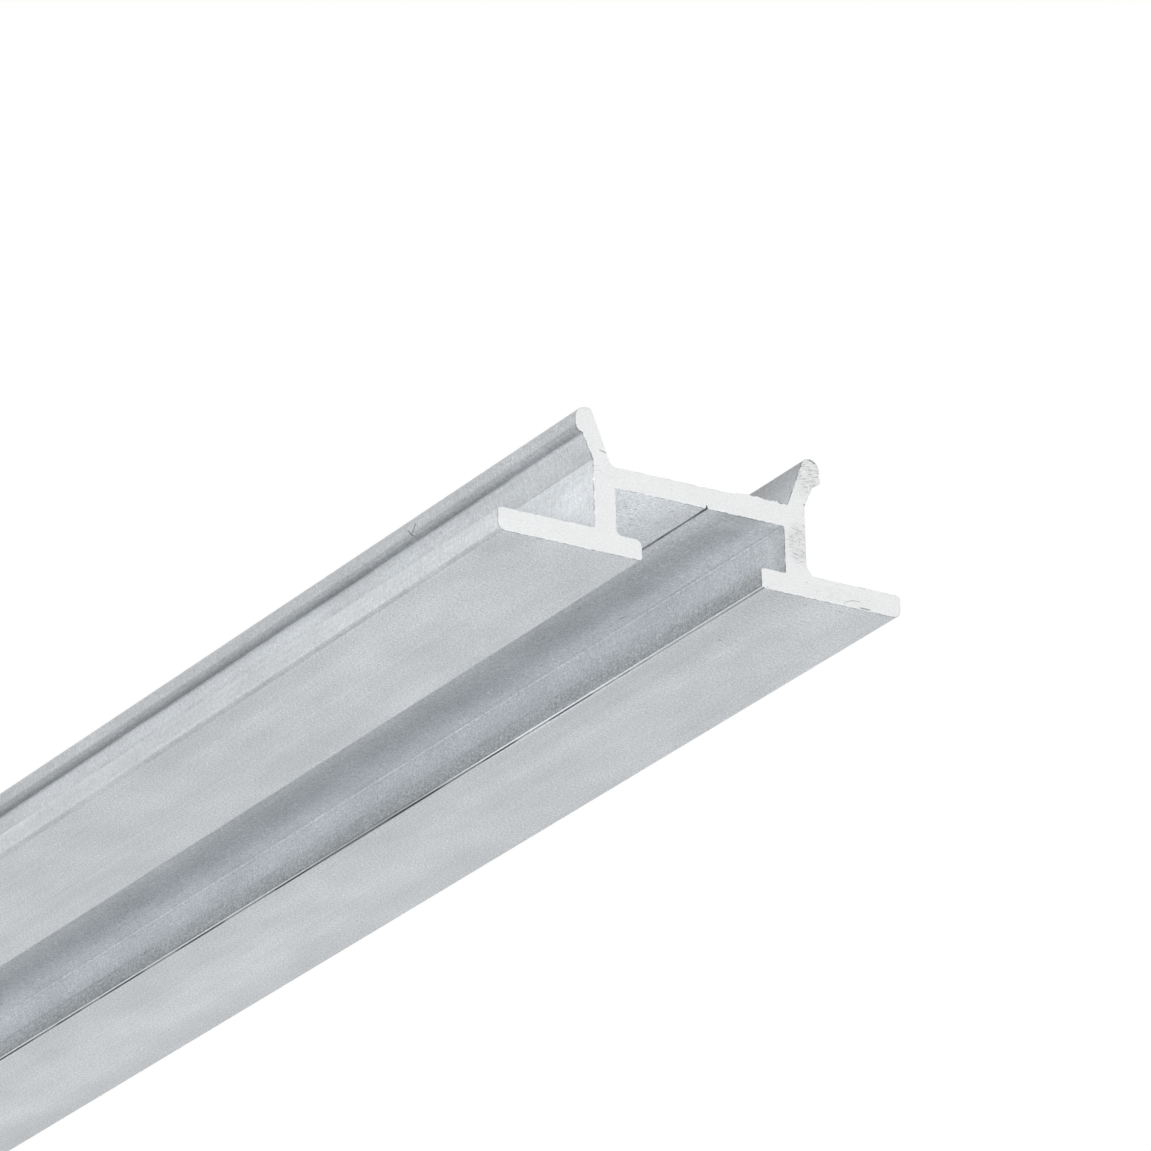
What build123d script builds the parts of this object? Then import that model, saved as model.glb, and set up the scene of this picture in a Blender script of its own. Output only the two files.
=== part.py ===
import os
from math import cos, radians, tan

from build123d import *

# Whole stock, in millimetres
LENGTH = 600.0
WIDTH = 38.0

# Two flat flanges, and the lips that narrow the slot between them
FLANGE_THICKNESS = 1.95
LIP_THICKNESS = 1.75
SLOT_WIDTH = 11.3

# Two upright webs, measured over their outer faces, and the bar that ties them above the channel
WEB_SPREAD = 20.0
WEB_THICKNESS = 2.0
CHANNEL_HEIGHT = 4.05
BAR_THICKNESS = 1.8

# Two horns that lean outward above the webs and thicken upward from their roots, each with a bead
# along the outside of its tip
HORN_RISE = 0.25
HORN_HEIGHT = 4.6
HORN_THICKNESS = 1.4
HORN_LEAN = 23.5
HORN_INNER_LEAN = 20.5
BEAD_HEIGHT = 2.2
BEAD_REACH = 0.6

# Drill guide, a fine vee along the bar's underside, a little to the right of its middle
GUIDE_OFFSET = 0.5
GUIDE_WIDTH = 0.25
GUIDE_DEPTH = 0.3

# Radii of the section's corners
TIP_LOWER_RADIUS = 0.7
TIP_UPPER_RADIUS = 0.4
LIP_LOWER_RADIUS = 0.3
LIP_UPPER_RADIUS = 0.35
CHANNEL_FOOT_RADIUS = 0.3
CHANNEL_TOP_RADIUS = 0.2
WEB_FOOT_RADIUS = 0.6
HORN_ROOT_RADIUS = 0.3
GUTTER_RADIUS = 0.5
SHOULDER_RADIUS = 0.15
BEAD_LOWER_RADIUS = 0.48
BEAD_CROWN_RADIUS = 0.9
BEAD_INNER_RADIUS = 0.25

# Heights above the undersides of the flanges
bar_underside = LIP_THICKNESS + CHANNEL_HEIGHT
bar_top = bar_underside + BAR_THICKNESS
horn_root_height = bar_top + HORN_RISE
height = bar_top + HORN_HEIGHT
bead_underside = height - BEAD_HEIGHT

# Half widths
tip = WIDTH / 2
slot = SLOT_WIDTH / 2
web_outer = WEB_SPREAD / 2
web_inner = web_outer - WEB_THICKNESS


def horn_outer(z):
    """Half width at height z over the outer faces of the horns."""
    return web_outer + (z - horn_root_height) * tan(radians(HORN_LEAN))


def horn_inner(z):
    """Half width at height z between the inner faces of the horns."""
    root = horn_outer(bar_top) - HORN_THICKNESS / cos(radians(HORN_LEAN))
    return root + (z - bar_top) * tan(radians(HORN_INNER_LEAN))


bead_outer = horn_outer(bead_underside) + BEAD_REACH
bead_crown = bead_outer - horn_inner(height)

# Corners of the right half of the section, each as x and z
channel_middle = (0, bar_underside)
channel_top = (web_inner, bar_underside)
channel_foot = (web_inner, LIP_THICKNESS)
lip_upper = (slot, LIP_THICKNESS)
lip_lower = (slot, 0)
tip_lower = (tip, 0)
tip_upper = (tip, FLANGE_THICKNESS)
web_foot = (web_outer, FLANGE_THICKNESS)
horn_root = (web_outer, horn_root_height)
shoulder = (horn_outer(bead_underside), bead_underside)
bead_lower = (bead_outer, bead_underside)
bead_upper = (bead_outer, height)
bead_inner = (horn_inner(height), height)
gutter = (horn_inner(bar_top), bar_top)
bar_middle = (0, bar_top)

half_section = [
    channel_middle, channel_top, channel_foot, lip_upper, lip_lower,
    tip_lower, tip_upper, web_foot, horn_root, shoulder, bead_lower,
    bead_upper, bead_inner, gutter, bar_middle,
]

# The drill guide's section
guide_vee = [
    (GUIDE_OFFSET - GUIDE_WIDTH / 2, bar_underside),
    (GUIDE_OFFSET, bar_underside + GUIDE_DEPTH),
    (GUIDE_OFFSET + GUIDE_WIDTH / 2, bar_underside),
]

# Each rounded corner with its radius and the most that the wall beside it leaves room for
rounded_corners = [
    (tip_lower, TIP_LOWER_RADIUS, 0.6 * FLANGE_THICKNESS),
    (tip_upper, TIP_UPPER_RADIUS, 0.3 * FLANGE_THICKNESS),
    (lip_lower, LIP_LOWER_RADIUS, 0.6 * LIP_THICKNESS),
    (lip_upper, LIP_UPPER_RADIUS, 0.3 * LIP_THICKNESS),
    (channel_foot, CHANNEL_FOOT_RADIUS, 0.3 * CHANNEL_HEIGHT),
    (channel_top, CHANNEL_TOP_RADIUS, 0.3 * CHANNEL_HEIGHT),
    (web_foot, WEB_FOOT_RADIUS, 0.3 * CHANNEL_HEIGHT),
    (horn_root, HORN_ROOT_RADIUS, 0.3 * CHANNEL_HEIGHT),
    (gutter, GUTTER_RADIUS, 0.3 * HORN_HEIGHT),
    (shoulder, SHOULDER_RADIUS, 0.25 * BEAD_REACH),
    (bead_lower, BEAD_LOWER_RADIUS, 0.8 * BEAD_REACH),
    (bead_upper, BEAD_CROWN_RADIUS, 0.78 * bead_crown),
    (bead_inner, BEAD_INNER_RADIUS, 0.22 * bead_crown),
]

with BuildPart() as tee_profile:
    with BuildSketch(Plane.XZ) as section:
        with BuildLine():
            Polyline(*half_section)
            mirror(about=Plane.YZ)
        make_face()
        for (x, z), radius, room in rounded_corners:
            left_and_right = [
                section.vertices().sort_by_distance((side * x, z))[0] for side in (-1, 1)
            ]
            fillet(left_and_right, min(radius, room))
        with BuildLine():
            Polyline(*guide_vee, close=True)
        make_face(mode=Mode.SUBTRACT)
    extrude(amount=LENGTH / 2, both=True)

tee_profile.part.label = "tee_profile"

os.makedirs("parts", exist_ok=True)
export_step(tee_profile.part, "parts/tee_profile.step")
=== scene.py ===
"""Looks of a slotted ceiling grid profile: one aluminium extrusion with plain sawn ends."""

import logging
import math
import random
from collections.abc import Iterable
from dataclasses import dataclass, field
from enum import Enum

import bmesh
import bpy
from mathutils import Matrix, Vector, noise
from mathutils.geometry import delaunay_2d_cdt


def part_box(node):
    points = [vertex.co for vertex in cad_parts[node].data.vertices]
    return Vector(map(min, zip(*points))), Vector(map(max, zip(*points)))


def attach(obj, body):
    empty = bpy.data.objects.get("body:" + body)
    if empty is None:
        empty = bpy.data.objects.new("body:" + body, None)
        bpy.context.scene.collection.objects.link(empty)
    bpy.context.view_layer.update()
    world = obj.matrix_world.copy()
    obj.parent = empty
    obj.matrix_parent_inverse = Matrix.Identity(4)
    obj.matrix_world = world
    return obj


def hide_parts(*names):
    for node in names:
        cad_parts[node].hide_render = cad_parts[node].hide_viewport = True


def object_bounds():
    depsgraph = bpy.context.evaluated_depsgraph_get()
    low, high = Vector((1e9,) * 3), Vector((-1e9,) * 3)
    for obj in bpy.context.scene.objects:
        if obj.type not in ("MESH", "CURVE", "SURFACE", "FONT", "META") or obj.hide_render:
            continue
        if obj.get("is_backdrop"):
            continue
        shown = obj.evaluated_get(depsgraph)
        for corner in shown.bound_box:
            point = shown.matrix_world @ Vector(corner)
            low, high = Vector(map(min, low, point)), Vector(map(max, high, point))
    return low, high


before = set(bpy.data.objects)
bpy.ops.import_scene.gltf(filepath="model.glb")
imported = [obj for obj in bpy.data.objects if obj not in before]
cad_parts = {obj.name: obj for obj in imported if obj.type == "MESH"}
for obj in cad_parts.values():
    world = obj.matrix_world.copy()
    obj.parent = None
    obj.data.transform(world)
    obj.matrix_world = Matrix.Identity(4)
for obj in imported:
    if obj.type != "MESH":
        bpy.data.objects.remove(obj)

LOG = logging.getLogger("grid_profile")
NODE = "tee_profile"
BODY = "root"
MM = 0.001
HALF_LENGTH = (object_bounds()[1].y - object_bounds()[0].y) / MM / 2

Point = tuple[float, float]
Triple = tuple[float, float, float]
Face = tuple[int, ...]
Colour = tuple[float, float, float, float]
Socket = bpy.types.NodeSocket
Number = Socket | float
Value = Socket | float | tuple


def grey(level: float) -> Colour:
    """Returns a neutral linear colour."""
    return (level, level, level, 1.0)


class Side(Enum):
    """Left and right half of the section, seen from the front end."""

    LEFT = -1
    RIGHT = 1


class End(Enum):
    """The two sawn ends, with the way each one faces along the length."""

    FRONT = -1
    BACK = 1


@dataclass(frozen=True)
class Corner:
    """One corner of the section, in millimetres.

    Attributes:
        x: Distance from the middle plane, negative on the left.
        z: Height above the undersides of the flanges.
        radius: Radius of the rounded corner, or 0 for a sharp one.
    """

    x: float
    z: float
    radius: float = 0.0


@dataclass(frozen=True, kw_only=True)
class Radii:
    """Radii of the corners of one half of the section, in millimetres.

    The right half has a crease in place of the lip's lower corner.
    """

    channel_top: float
    channel_foot: float
    lip_upper: float
    lip_lower: float = 0.3
    tip_lower: float = 0.65
    tip_upper: float
    web_foot: float
    horn_root: float = 0.3
    shoulder: float = 0.1
    bead_lower: float
    bead_crown: float
    bead_inner: float
    gutter: float


LEFT_RADII = Radii(
    channel_top=0.1, channel_foot=0.55, lip_upper=0.6, tip_upper=0.25, web_foot=0.25,
    bead_lower=0.58, bead_crown=0.9, bead_inner=0.3, gutter=0.6,
)
RIGHT_RADII = Radii(
    channel_top=0.14, channel_foot=0.08, lip_upper=0.12, tip_upper=0.4, web_foot=1.0,
    bead_lower=0.5, bead_crown=0.86, bead_inner=0.8, gutter=0.15,
)


@dataclass(frozen=True)
class LipCrease:
    """Fine crease where the die left a burnished edge along the right lip, in millimetres.

    Attributes:
        rise: Height at which the lip's side starts to lean outward.
        bend: Radius of the corner there.
        lean: How far it leans by the crease.
        land: Height of the crease's inner edge.
        depth: Height of its root.
        mouth: Distance of its outer edge from the lip's side.
    """

    rise: float = 0.14
    bend: float = 0.04
    lean: float = 0.07
    land: float = 0.02
    depth: float = 0.13
    mouth: float = 0.25

    def corners(self, lip_edge: float) -> list[Triple]:
        """Returns the crease's corners as x, z and radius, from the lip's side to its underside."""
        return [
            (lip_edge, self.rise, self.bend),
            (lip_edge + self.lean, self.land, 0),
            (lip_edge + (self.lean + self.mouth) / 2, self.depth, 0),
            (lip_edge + self.mouth, 0, 0),
        ]


@dataclass(frozen=True)
class Section:
    """Sizes of the extruded section, in millimetres."""

    width: float
    height: float
    flange_thickness: float = 1.95
    lip_thickness: float = 1.75
    slot_width: float = 11.3
    web_spread: float = 20.0
    web_thickness: float = 2.0
    channel_height: float = 4.05
    bar_thickness: float = 1.8
    horn_rise: float = 0.25
    horn_thickness: float = 1.4
    horn_lean: float = 23.5
    horn_inner_lean: float = 20.5
    bead_height: float = 2.2
    bead_reach: float = 0.6
    guide_offset: float = 0.62
    guide_width: float = 0.2
    guide_depth: float = 0.3
    arc_steps: int = 8

    @property
    def bar_underside(self) -> float:
        """Height of the underside of the bar between the webs."""
        return self.lip_thickness + self.channel_height

    @property
    def bar_top(self) -> float:
        """Height of the top of the bar between the webs."""
        return self.bar_underside + self.bar_thickness

    @property
    def web_outer(self) -> float:
        """Half width over the outer faces of the webs."""
        return self.web_spread / 2

    @property
    def web_inner(self) -> float:
        """Half width between the inner faces of the webs."""
        return self.web_outer - self.web_thickness

    @property
    def lip_edge(self) -> float:
        """Half width of the slot between the lips."""
        return self.slot_width / 2

    @property
    def bead_underside(self) -> float:
        """Height of the underside of the bead along each horn."""
        return self.height - self.bead_height

    @property
    def bead_outer(self) -> float:
        """Half width over the outer faces of the beads."""
        return self.horn_outer(self.bead_underside) + self.bead_reach

    def horn_outer(self, z: float) -> float:
        """Returns the half width at height z over the outer faces of the horns."""
        rise = z - self.bar_top - self.horn_rise
        return self.web_outer + rise * math.tan(math.radians(self.horn_lean))

    def horn_inner(self, z: float) -> float:
        """Returns the half width at height z between the inner faces of the horns."""
        slant = self.horn_thickness / math.cos(math.radians(self.horn_lean))
        root = self.horn_outer(self.bar_top) - slant
        return root + (z - self.bar_top) * math.tan(math.radians(self.horn_inner_lean))

    def half(self, side: Side, radii: Radii) -> list[Corner]:
        """Lists the corners of one half, from the channel's roof round to the bar's top.

        Args:
            side: The half to list.
            radii: The radii of that half's corners.

        Returns:
            The corners, in that order.
        """
        lip_foot = [(self.lip_edge, 0, radii.lip_lower)]
        if side is Side.RIGHT:
            lip_foot = LipCrease().corners(self.lip_edge)
        places = [
            (self.web_inner, self.bar_underside, radii.channel_top),
            (self.web_inner, self.lip_thickness, radii.channel_foot),
            (self.lip_edge, self.lip_thickness, radii.lip_upper),
            *lip_foot,
            (self.width / 2, 0, radii.tip_lower),
            (self.width / 2, self.flange_thickness, radii.tip_upper),
            (self.web_outer, self.flange_thickness, radii.web_foot),
            (self.web_outer, self.bar_top + self.horn_rise, radii.horn_root),
            (self.horn_outer(self.bead_underside), self.bead_underside, radii.shoulder),
            (self.bead_outer, self.bead_underside, radii.bead_lower),
            (self.bead_outer, self.height, radii.bead_crown),
            (self.horn_inner(self.height), self.height, radii.bead_inner),
            (self.horn_inner(self.bar_top), self.bar_top, radii.gutter),
        ]
        return [Corner(side.value * x, z, radius) for x, z, radius in places]

    def corners(self) -> list[Corner]:
        """Returns all the corners, counterclockwise as seen from the front end."""
        guide = [
            Corner(self.guide_offset - self.guide_width / 2, self.bar_underside),
            Corner(self.guide_offset, self.bar_underside + self.guide_depth),
            Corner(self.guide_offset + self.guide_width / 2, self.bar_underside),
        ]
        left = self.half(Side.LEFT, LEFT_RADII)
        return guide + self.half(Side.RIGHT, RIGHT_RADII) + left[::-1]

    def rounded(self, before: Corner, corner: Corner, after: Corner) -> list[Point]:
        """Rounds one corner.

        Args:
            before: The corner before it along the outline.
            corner: The corner to round.
            after: The corner after it along the outline.

        Returns:
            The points of the arc, or the corner itself where it is sharp.
        """
        here = Vector((corner.x, corner.z))
        if not corner.radius:
            return [tuple(here)]
        back = (Vector((before.x, before.z)) - here).normalized()
        ahead = (Vector((after.x, after.z)) - here).normalized()
        half = back.angle(ahead) / 2
        centre = here + (back + ahead).normalized() * corner.radius / math.sin(half)
        start = here + back * corner.radius / math.tan(half) - centre
        turn = start.angle_signed(here + ahead * corner.radius / math.tan(half) - centre)
        points = []
        for step in range(self.arc_steps + 1):
            spoke = start.copy()
            spoke.rotate(Matrix.Rotation(-turn * step / self.arc_steps, 2))
            points.append(tuple(centre + spoke))
        return points

    def outline(self) -> list[Point]:
        """Returns the whole closed outline, counterclockwise as seen from the front end."""
        corners = self.corners()
        points = []
        for before, corner, after in zip(corners[-1:] + corners, corners, corners[1:] + corners[:1]):
            points += self.rounded(before, corner, after)
        return points


@dataclass(frozen=True)
class Rim:
    """The outline divided finely, for the rings of points next to a sawn end.

    Attributes:
        points: Points of the fine outline, in millimetres.
        normals: Outward direction at each point.
        along: Distance of each point round the outline, in millimetres.
        keep: Indexes of the points that the plain outline has too.
    """

    points: list[Vector]
    normals: list[Vector]
    along: list[float]
    keep: list[int]

    @staticmethod
    def divide(outline: list[Point], pitch: float) -> "Rim":
        """Divides an outline.

        Args:
            outline: The closed outline, in millimetres.
            pitch: The longest step between two points of the fine one.

        Returns:
            The fine outline.
        """
        points, keep = [], []
        for here, ahead in zip(map(Vector, outline), map(Vector, outline[1:] + outline[:1])):
            keep.append(len(points))
            steps = max(1, math.ceil((ahead - here).length / pitch))
            points += [here.lerp(ahead, step / steps) for step in range(steps)]
        along, normals, run = [], [], 0.0
        for i, here in enumerate(points):
            ahead = points[(i + 1) % len(points)]
            along.append(run)
            run += (ahead - here).length
            line = (ahead - here).normalized() + (here - points[i - 1]).normalized()
            normals.append(Vector((line.y, -line.x)).normalized())
        return Rim(points, normals, along, keep)


@dataclass(frozen=True)
class SawStroke:
    """A patch of short torn strokes on one end.

    Attributes:
        end: Which end it is on.
        centre: Middle of the patch, in millimetres.
        reach: Half width and half height of the patch.
        depth: How deep its strokes go.
        tilt: Lean of the strokes, in degrees.
    """

    end: End
    centre: Point
    reach: Point
    depth: float
    tilt: float


SAW_STROKES = (
    SawStroke(End.FRONT, centre=(10.4, 10.7), reach=(1.8, 2.3), depth=0.09, tilt=8),
    SawStroke(End.FRONT, centre=(9.3, 4.5), reach=(1.3, 2.2), depth=0.1, tilt=-8),
    SawStroke(End.FRONT, centre=(13.5, 0.7), reach=(4.5, 0.8), depth=0.02, tilt=10),
    SawStroke(End.BACK, centre=(-9.2, 5.0), reach=(1.4, 2.4), depth=0.08, tilt=10),
)


@dataclass(frozen=True)
class ScratchAndShadowMark:
    """A short straight scratch, nick or speck, or the painted shadow of a burr or pit, in millimetres;
    y counts from the front end.

    Attributes:
        start: Where it starts.
        end: Where it ends.
        width: Its width.
        strength: How much it darkens, or lightens where it is below zero.
    """

    start: Triple
    end: Triple
    width: float
    strength: float


@dataclass(frozen=True)
class Burr:
    """A torn burr that stands out of the faces beside one end's edge, in millimetres.

    Attributes:
        end: Which end it is on.
        centre: Its middle on the edge.
        reach: How far it spreads along x and z.
        out: How far it stands out along x and z.
    """

    end: End
    centre: Point
    reach: Point
    out: Point


BURRS = (
    Burr(End.FRONT, centre=(5.9, 7.6), reach=(3.2, 1.2), out=(0.0, 0.26)),
    Burr(End.FRONT, centre=(11.5, 10.2), reach=(0.6, 0.6), out=(0.1, -0.08)),
    Burr(End.BACK, centre=(-7.0, 7.6), reach=(1.2, 1.2), out=(0.0, 0.15)),
)

SAWN_DEPTH = 0.025
# The front end's nicks, scratches and specks; the dark specks along the bar's top edge, the nick at the
# right horn's top and the line along the right flange's foot are painted shadows of burrs and pits.
END_NICKS_AND_SHADOWS = tuple(
    ScratchAndShadowMark((x, SAWN_DEPTH, z), (far_x, SAWN_DEPTH, far_z), width, strength)
    for (x, z), (far_x, far_z), width, strength in (
        ((-9.36, 8.75), (-8.76, 8.62), 0.13, 0.4),
        ((-9.98, 6.9), (-9.32, 6.98), 0.09, 0.15),
        ((-9.97, 7.29), (-9.59, 7.37), 0.09, 0.15),
        ((6.0, 7.84), (6.25, 7.84), 0.2, 0.45),
        ((6.6, 7.84), (6.8, 7.84), 0.2, 0.6),
        ((7.1, 7.83), (7.2, 7.83), 0.16, 0.4),
        ((7.6, 7.81), (7.8, 7.77), 0.22, 0.75),
        ((10.68, 12.12), (11.1, 11.95), 0.14, 0.6),
        ((13.59, 0.34), (14.3, 0.6), 0.08, 0.3),
        ((14.3, 0.6), (15.05, 0.66), 0.08, 0.35),
        ((15.12, 0.13), (15.99, 0.13), 0.12, 0.6),
        ((10.0, 8.08), (10.02, 8.0), 0.16, 0.5),
        ((9.9, 6.21), (9.94, 6.15), 0.12, 0.4),
        ((6.11, 0.16), (6.2, 0.14), 0.1, 0.35),
        ((9.9, 1.3), (9.98, 1.28), 0.1, 0.3),
    )
)

SIDE_MARKS = (
    ScratchAndShadowMark((-11.5, 24.53, 11.12), (-11.5, 24.97, 10.58), 0.18, 0.6),
    ScratchAndShadowMark((-11.5, 25.71, 10.96), (-11.5, 24.83, 10.08), 0.15, 0.55),
    ScratchAndShadowMark((10.6, 1.3, 0.0), (10.9, 1.5, 0.0), 0.14, 0.4),
    ScratchAndShadowMark((13.7, 1.2, 0.0), (14.2, 1.3, 0.0), 0.14, 0.4),
    ScratchAndShadowMark((8.6, 10.8, 0.0), (8.9, 11.0, 0.0), 0.16, 0.35),
    ScratchAndShadowMark((1.3, 8.5, 5.8), (1.5, 8.8, 5.8), 0.16, -0.35),
    ScratchAndShadowMark((2.7, 22.3, 5.8), (2.8, 22.6, 5.8), 0.16, 0.4),
    ScratchAndShadowMark((6.9, 22.3, 5.8), (6.9, 22.8, 5.8), 0.16, 0.4),
    ScratchAndShadowMark((-4.4, 19.3, 5.8), (-4.4, 19.6, 5.8), 0.16, -0.3),
)


@dataclass(frozen=True)
class ShadingAndStainPatch:
    """A soft darker or lighter patch, in millimetres; y counts from the front end. Most are painted
    shade and painted light where the light falls unevenly; some are stains.

    Attributes:
        centre: Its middle.
        reach: How far it spreads along X, Y and Z.
        strength: How much it darkens, or lightens where it is below zero.
    """

    centre: Triple
    reach: Triple
    strength: float


# Mostly painted shade and painted light: darker on the channel's roof, the right web's inner face and
# the right lip near the front end, along the channel's right top corner and down the channel; lighter
# on the roof left of the guide, down the right web's inner face, on the left horn and on the left web;
# a painted highlight and a darker line along the right lip's lower edge. The patches on the flanges'
# undersides are stains and uneven tone.
PAINTED_SHADING_AND_STAINS = (
    ShadingAndStainPatch((3.4, 1.0, 5.8), (3.4, 13.0, 1.2), 0.08),
    ShadingAndStainPatch((-0.4, 2.0, 5.8), (1.6, 5.0, 0.8), 0.12),
    ShadingAndStainPatch((-5.0, 8.0, 5.8), (4.0, 9.0, 1.4), -0.16),
    ShadingAndStainPatch((6.2, 0.0, 4.8), (4.2, 2.6, 4.0), 0.16),
    ShadingAndStainPatch((4.6, 0.0, 5.8), (3.4, 2.4, 0.8), 0.16),
    ShadingAndStainPatch((8.0, 0.0, 3.3), (0.6, 2.4, 1.5), 0.12),
    ShadingAndStainPatch((8.0, 0.0, 3.2), (0.6, 14.0, 3.4), 0.12),
    ShadingAndStainPatch((8.0, 9.0, 5.5), (0.6, 18.0, 1.7), 0.13),
    ShadingAndStainPatch((8.0, 300.0, 5.75), (0.45, 4000.0, 0.45), 0.08),
    ShadingAndStainPatch((6.6, 0.0, 5.8), (3.0, 16.0, 0.7), 0.02),
    ShadingAndStainPatch((5.65, 0.0, 0.9), (0.4, 16.0, 1.2), 0.18),
    ShadingAndStainPatch((5.8, 31.0, 0.05), (0.5, 22.0, 0.5), -0.34),
    ShadingAndStainPatch((5.82, 60.0, 0.05), (0.3, 22.0, 0.3), 0.5),
    ShadingAndStainPatch((7.8, 0.0, 1.8), (0.9, 2.6, 1.0), 0.25),
    ShadingAndStainPatch((6.0, 0.0, 4.5), (6.5, 130.0, 8.0), 0.07),
    ShadingAndStainPatch((1.9, 300.0, 5.8), (2.3, 4000.0, 2.0), 0.14),
    ShadingAndStainPatch((9.0, 300.0, 4.0), (7.0, 4000.0, 5.2), -0.13),
    ShadingAndStainPatch((-17.0, 3.5, 0.0), (2.8, 4.0, 0.5), 0.06),
    ShadingAndStainPatch((-19.0, 0.0, 1.0), (0.5, 9.0, 1.2), -0.08),
    ShadingAndStainPatch((-19.0, 55.0, 1.0), (0.5, 45.0, 1.2), 0.08),
    ShadingAndStainPatch((-7.5, 13.0, 0.0), (2.5, 10.0, 0.5), 0.07),
    ShadingAndStainPatch((-15.0, 27.0, 0.0), (3.0, 15.0, 0.5), -0.08),
    ShadingAndStainPatch((-17.7, 48.0, 0.0), (2.5, 13.0, 0.5), 0.14),
    ShadingAndStainPatch((-7.9, 49.0, 0.0), (2.6, 10.0, 0.5), 0.12),
    ShadingAndStainPatch((8.2, 4.0, 0.0), (3.4, 16.0, 0.5), 0.1),
    ShadingAndStainPatch((7.8, 28.0, 0.0), (2.4, 42.0, 0.5), 0.1),
    ShadingAndStainPatch((13.6, 3.0, 0.0), (2.8, 7.0, 0.5), -0.07),
    ShadingAndStainPatch((16.7, 19.0, 0.0), (2.0, 15.0, 0.5), 0.07),
    ShadingAndStainPatch((13.2, 130.0, 0.0), (4.2, 92.0, 0.5), -0.15),
    ShadingAndStainPatch((-10.3, 63.0, 8.6), (1.2, 67.0, 1.9), -0.2),
    ShadingAndStainPatch((-10.6, 7.0, 9.4), (0.8, 9.0, 1.0), 0.07),
    ShadingAndStainPatch((-10.1, 2.0, 7.9), (1.0, 10.0, 1.8), 0.1),
    ShadingAndStainPatch((-10.0, 8.0, 4.4), (0.6, 10.0, 2.6), -0.15),
    ShadingAndStainPatch((-14.0, 150.0, 0.0), (3.0, 60.0, 0.5), -0.04),
)


@dataclass(frozen=True)
class SawnEnd:
    """How the saw left one end: its broken edge, burrs, chips and strokes, in millimetres.

    Attributes:
        end: Which end it is.
        seed: Start of the noise that roughens it.
        edge_break: How far the edge itself is worn back.
        break_run: Distance from the end in which that wear mostly fades out.
        burr: How far burrs stand out of the faces beside the edge.
        burr_run: Distance in which they mostly fade out.
        chip: How deep the chips in the edge are.
        chip_run: Distance in which they and the torn burrs mostly fade out.
        sweep_depth: Depth of the arcs that the saw's teeth left.
        sweep_radius: Radius of the saw blade.
        sweep_side: How far left of the middle its centre was, as a share of its radius.
        sweep_pitch: Step between two arcs.
        tremor: Depth of the fine roughness on top of the arcs.
    """

    end: End
    seed: float
    edge_break: float = 0.02
    break_run: float = 0.02
    burr: float = 0.055
    burr_run: float = 0.12
    chip: float = 0.12
    chip_run: float = 0.2
    sweep_depth: float = 0.012
    sweep_radius: float = 130.0
    sweep_side: float = 0.35
    sweep_pitch: float = 0.55
    tremor: float = 0.006

    def edge_offset(self, place: Vector, normal: Vector, along: float, depth: float) -> Vector:
        """Says how far a point beside the edge stands out of the plain section.

        Args:
            place: The point, as x and z.
            normal: Outward direction there.
            along: Distance round the outline.
            depth: Distance from the end.

        Returns:
            The offset, along x and z; it points inward where the edge is worn or chipped.
        """
        rough = noise.noise((along * 2.3, self.seed, 0.0))
        rough += 0.6 * noise.noise((along * 6.1, self.seed, 3.0))
        clump = max(0.0, noise.noise((along * 0.45, self.seed, 7.0)) + 0.25)
        burr = self.burr * max(0.0, rough) * clump * 2 * math.exp(-depth / self.burr_run)
        chip = self.chip * max(0.0, -rough - 0.22) * math.exp(-depth / self.chip_run)
        broken = self.edge_break * math.exp(-depth / self.break_run)
        offset = normal * (burr - chip - broken)
        for torn in BURRS:
            away = [(at - middle) / far for at, middle, far in zip(place, torn.centre, torn.reach)]
            share = max(0.0, 1 - math.hypot(*away))
            if torn.end is self.end and share:
                height = min(1.0, 2 * share) * (0.9 + 0.3 * rough) * math.exp(-depth / self.chip_run)
                offset += Vector(torn.out) * height
        return offset

    def face_depth(self, x: float, z: float) -> float:
        """Says how far behind the end's plane a point of the sawn face lies.

        Args:
            x: Distance from the middle plane.
            z: Height above the undersides.

        Returns:
            The depth, never below zero.
        """
        sweep = math.hypot(x + self.sweep_radius * self.sweep_side, z - self.sweep_radius)
        wander = noise.noise((x * 0.5, z * 0.5, self.seed))
        arcs = noise.noise((sweep / self.sweep_pitch * 2.1, wander, self.seed))
        depth = self.sweep_depth * (1 + arcs)
        depth += self.tremor * (1 + noise.noise((x * 5, z * 5, self.seed)))
        for stroke in SAW_STROKES:
            if stroke.end is not self.end:
                continue
            across = (x - stroke.centre[0]) / stroke.reach[0]
            up = (z - stroke.centre[1]) / stroke.reach[1]
            inside = max(0.0, 1 - across * across - up * up)
            lean = math.radians(stroke.tilt)
            run = x * math.cos(lean) + z * math.sin(lean)
            rise = z * math.cos(lean) - x * math.sin(lean)
            torn = noise.noise((run * 1.3, rise * 5.5, self.seed + 11))
            depth += stroke.depth * inside * max(0.0, torn)
        return depth


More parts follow.
